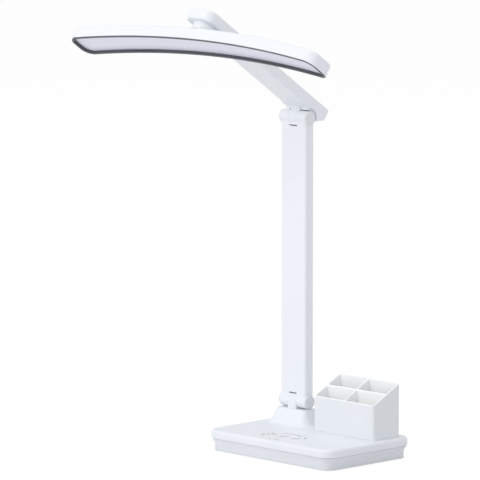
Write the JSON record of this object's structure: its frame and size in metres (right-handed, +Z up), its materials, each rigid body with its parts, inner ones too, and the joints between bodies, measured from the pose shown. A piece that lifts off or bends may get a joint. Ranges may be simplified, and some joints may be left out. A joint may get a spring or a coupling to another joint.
{
  "type": "desk lamp with pen holder",
  "caption": "White desk lamp: weighted base with touch control and divided pen holder, two folding arms, and a long arched LED head that swivels under the upper arm.",
  "frame": {"origin": "centre of the base's anti-slip pad, on the table", "axes": "+Z up, +X along the base's long side to the right, -Y to the front, where the head reaches out"},
  "size_m": [0.3952, 0.2141, 0.5143],
  "materials": {
    "black_plastic": "moulded",
    "cast_ballast": "as cast",
    "circuit_board": "solder mask",
    "dark_frame": "dark grey plastic, fine texture",
    "foam": "open cell",
    "grey_cap": "satin pale grey",
    "lead": "pvc sheath",
    "led": "phosphor",
    "led_board": "white solder mask on aluminium",
    "nylon": "natural nylon",
    "opal_diffuser": "opal, frosted",
    "pale_disc": "pale satin plastic",
    "rubber": "matt",
    "steel": "zinc plated",
    "white_arm": "smooth white ABS, fine satin",
    "white_holder": "white ABS, satin",
    "white_shell": "smooth white ABS, fine satin"
  },
  "bodies": {
    "base": {"anti_slip_pad": "rubber", "back_left_base_screw": "steel", "back_right_base_screw": "steel", "ballast_plate": "cast_ballast", "base_lead": "lead", "base_top": "white_shell", "base_tray": "white_shell", "control_board": "circuit_board", "control_chip": "black_plastic", "front_left_base_screw": "steel", "front_right_base_screw": "steel", "hinge_core": "steel", "indicator_led": "led", "indicator_lens": "opal_diffuser", "left_board_screw": "steel", "left_core_screw": "steel", "left_holder_screw": "steel", "pen_holder": "white_holder", "power_socket": "black_plastic", "right_board_screw": "steel", "right_core_screw": "steel", "right_holder_screw": "steel", "touch_disc": "pale_disc", "touch_sensor_pad": "foam"},
    "lower_arm": {"lower_arm_back": "white_arm", "lower_arm_bottom_screw": "steel", "lower_arm_lead": "lead", "lower_arm_shell": "white_arm", "lower_arm_spine": "steel", "lower_arm_top_screw": "steel", "lower_hinge_bolt": "steel", "lower_hinge_left_cap": "grey_cap", "lower_hinge_left_washer": "nylon", "lower_hinge_nut": "steel", "lower_hinge_right_cap": "grey_cap", "lower_hinge_right_washer": "nylon", "upper_hinge_bolt": "steel", "upper_hinge_left_cap": "grey_cap", "upper_hinge_left_washer": "nylon", "upper_hinge_nut": "steel", "upper_hinge_right_cap": "grey_cap", "upper_hinge_right_washer": "nylon"},
    "upper_arm": {"upper_arm_back_screw": "steel", "upper_arm_cover": "white_arm", "upper_arm_front_screw": "steel", "upper_arm_lead": "lead", "upper_arm_shell": "white_arm", "upper_arm_spine": "steel"},
    "head": {"diffuser": "opal_diffuser", "head_frame": "dark_frame", "head_housing": "white_shell", "led_board": "led_board", "left_led_board_screw": "steel", "right_led_board_screw": "steel", "swivel_collar": "pale_disc", "swivel_nut": "steel", "swivel_spindle": "steel", "swivel_washer": "steel"}
  },
  "joints": [
    {"name": "lower_arm_tilt", "type": "hinge", "parent": "base", "child": "lower_arm", "pos_m": [-0.0537, 0.0331, 0.0517], "axis": [1, 0, 0], "range_deg": [-15, 35]},
    {"name": "upper_arm_tilt", "type": "hinge", "parent": "lower_arm", "child": "upper_arm", "pos_m": [-0.0537, 0.0331, 0.3807], "axis": [1, 0, 0], "range_deg": [-15, 65]},
    {"name": "head_swivel", "type": "hinge", "parent": "upper_arm", "child": "head", "pos_m": [-0.0537, -0.11123, 0.49303], "axis": [0, -0.5664, -0.8241], "range_deg": [-45, 45]}
  ]
}
